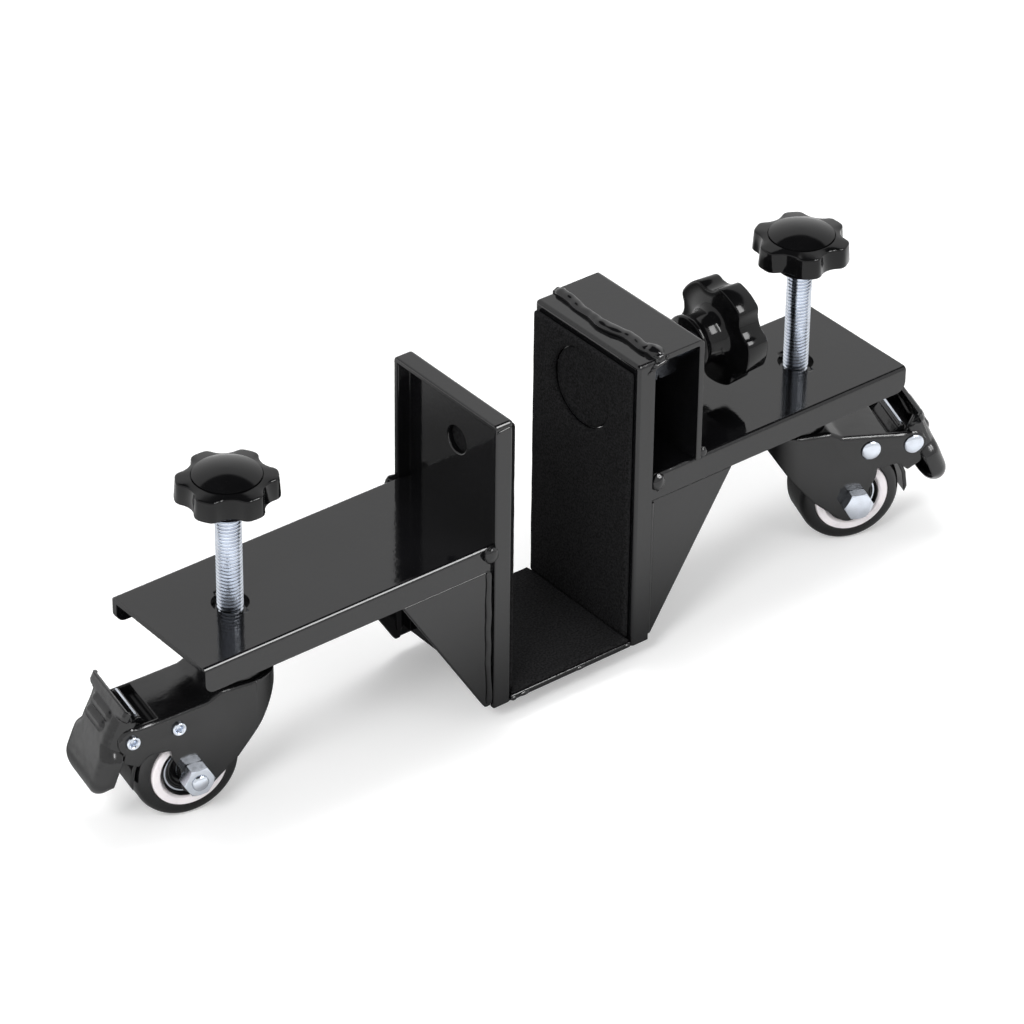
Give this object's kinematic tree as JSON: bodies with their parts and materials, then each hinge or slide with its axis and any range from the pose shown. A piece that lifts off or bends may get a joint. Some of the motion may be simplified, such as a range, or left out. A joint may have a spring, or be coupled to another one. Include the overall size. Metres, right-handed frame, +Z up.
{
  "type": "rolling clamp cradle",
  "caption": "Foam-lined steel cradle with a screw clamp, carried on two braked swivel casters that jack screws raise and lower.",
  "frame": {"origin": "centre of the cradle's seat, on the top face of the floor foam", "axes": "+X from the left caster to the right one, which carries the clamp; +Y from front to back; +Z up"},
  "size_m": [0.474, 0.077, 0.1708],
  "materials": {
    "frame_enamel": "gloss",
    "caster_enamel": "satin",
    "foam": "matte",
    "knob_plastic": "gloss",
    "tyre": "satin",
    "rim_plastic": "satin",
    "zinc": "bright zinc"
  },
  "bodies": {
    "frame": {"clamp_bracket": "frame_enamel", "cradle_floor": "frame_enamel", "left_front_gusset": "frame_enamel", "left_rear_gusset": "frame_enamel", "left_shelf": "frame_enamel", "left_upright": "frame_enamel", "right_front_gusset": "frame_enamel", "right_rear_gusset": "frame_enamel", "right_shelf": "frame_enamel", "right_upright": "frame_enamel", "left_wall_foam": "foam", "right_wall_foam": "foam", "floor_foam": "foam", "left_jack_nut": "zinc", "right_jack_nut": "zinc", "clamp_nut": "zinc"},
    "clamp_pad": {"clamp_foot": "caster_enamel", "clamp_foot_foam": "foam"},
    "clamp_spindle": {"clamp_screw": "zinc", "clamp_foot_clip": "zinc", "clamp_knob": "knob_plastic", "clamp_knob_cap": "knob_plastic"},
    "left_race": {"left_swivel_bearings": "zinc"},
    "left_jack": {"left_jack_screw": "zinc", "left_jack_knob": "knob_plastic", "left_jack_knob_cap": "knob_plastic", "left_swivel_head": "caster_enamel", "left_lower_cup": "caster_enamel"},
    "left_caster": {"left_fork": "caster_enamel", "left_axle_bolt": "zinc", "left_axle_nut": "zinc", "left_axle_spacers": "zinc", "left_brake_rivets": "zinc"},
    "left_wheel": {"left_tyre": "tyre", "left_rim": "rim_plastic", "left_wheel_bearings": "zinc"},
    "left_pedal": {"left_brake_pedal": "caster_enamel"},
    "left_shoe": {"left_brake_tongue": "caster_enamel"},
    "right_race": {"right_swivel_bearings": "zinc"},
    "right_jack": {"right_jack_screw": "zinc", "right_jack_knob": "knob_plastic", "right_jack_knob_cap": "knob_plastic", "right_swivel_head": "caster_enamel", "right_lower_cup": "caster_enamel"},
    "right_caster": {"right_fork": "caster_enamel", "right_axle_bolt": "zinc", "right_axle_nut": "zinc", "right_axle_spacers": "zinc", "right_brake_rivets": "zinc"},
    "right_wheel": {"right_tyre": "tyre", "right_rim": "rim_plastic", "right_wheel_bearings": "zinc"},
    "right_pedal": {"right_brake_pedal": "caster_enamel"},
    "right_shoe": {"right_brake_tongue": "caster_enamel"}
  },
  "joints": [
    {"name": "left_jack_lift", "type": "slide", "parent": "frame", "child": "left_race", "axis": [0, 0, 1], "range_m": [-0.0455, 0.0105]},
    {"name": "left_jack_spin", "type": "hinge", "parent": "left_race", "child": "left_jack", "pos_m": [-0.162, 0, 0.082], "axis": [0, 0, 1], "range_deg": [-9360, 2160]},
    {"name": "left_swivel", "type": "hinge", "parent": "left_race", "child": "left_caster", "pos_m": [-0.162, 0, 0.0495], "axis": [0, 0, 1], "continuous": true},
    {"name": "left_wheel_roll", "type": "hinge", "parent": "left_caster", "child": "left_wheel", "pos_m": [-0.18855, 0.00492, 0.009], "axis": [-0.1822, -0.9833, 0], "continuous": true},
    {"name": "left_pedal_press", "type": "hinge", "parent": "left_caster", "child": "left_pedal", "pos_m": [-0.21637, 0.01008, 0.036], "axis": [-0.1822, -0.9833, 0], "range_deg": [0, 18]},
    {"name": "left_shoe_swing", "type": "hinge", "parent": "left_caster", "child": "left_shoe", "pos_m": [-0.19504, 0.00612, 0.0365], "axis": [-0.1822, -0.9833, 0], "range_deg": [0, 2.79]},
    {"name": "right_jack_lift", "type": "slide", "parent": "frame", "child": "right_race", "axis": [0, 0, 1], "range_m": [-0.0455, 0.0105]},
    {"name": "right_jack_spin", "type": "hinge", "parent": "right_race", "child": "right_jack", "pos_m": [0.162, 0, 0.082], "axis": [0, 0, 1], "range_deg": [-9360, 2160]},
    {"name": "right_swivel", "type": "hinge", "parent": "right_race", "child": "right_caster", "pos_m": [0.162, 0, 0.0495], "axis": [0, 0, 1], "continuous": true},
    {"name": "right_wheel_roll", "type": "hinge", "parent": "right_caster", "child": "right_wheel", "pos_m": [0.18737, -0.00923, 0.009], "axis": [0.342, 0.9397, 0], "continuous": true},
    {"name": "right_pedal_press", "type": "hinge", "parent": "right_caster", "child": "right_pedal", "pos_m": [0.21396, -0.01891, 0.036], "axis": [0.342, 0.9397, 0], "range_deg": [0, 18]},
    {"name": "right_shoe_swing", "type": "hinge", "parent": "right_caster", "child": "right_shoe", "pos_m": [0.19357, -0.01149, 0.0365], "axis": [0.342, 0.9397, 0], "range_deg": [0, 2.79]},
    {"name": "clamp_travel", "type": "slide", "parent": "frame", "child": "clamp_pad", "axis": [1, 0, 0], "range_m": [-0.0175, 0.00525]},
    {"name": "clamp_spin", "type": "hinge", "parent": "clamp_pad", "child": "clamp_spindle", "pos_m": [0.0735, 0, 0.117], "axis": [1, 0, 0], "range_deg": [-3600, 1080]}
  ],
  "couplings": [
    {"joint": "left_jack_spin", "follows": "left_jack_lift", "rad_per_m": 3590.4},
    {"joint": "left_shoe_swing", "follows": "left_pedal_press", "ratio": 0.155},
    {"joint": "right_jack_spin", "follows": "right_jack_lift", "rad_per_m": 3590.4},
    {"joint": "right_shoe_swing", "follows": "right_pedal_press", "ratio": 0.155},
    {"joint": "clamp_spin", "follows": "clamp_travel", "rad_per_m": 3590.4}
  ]
}
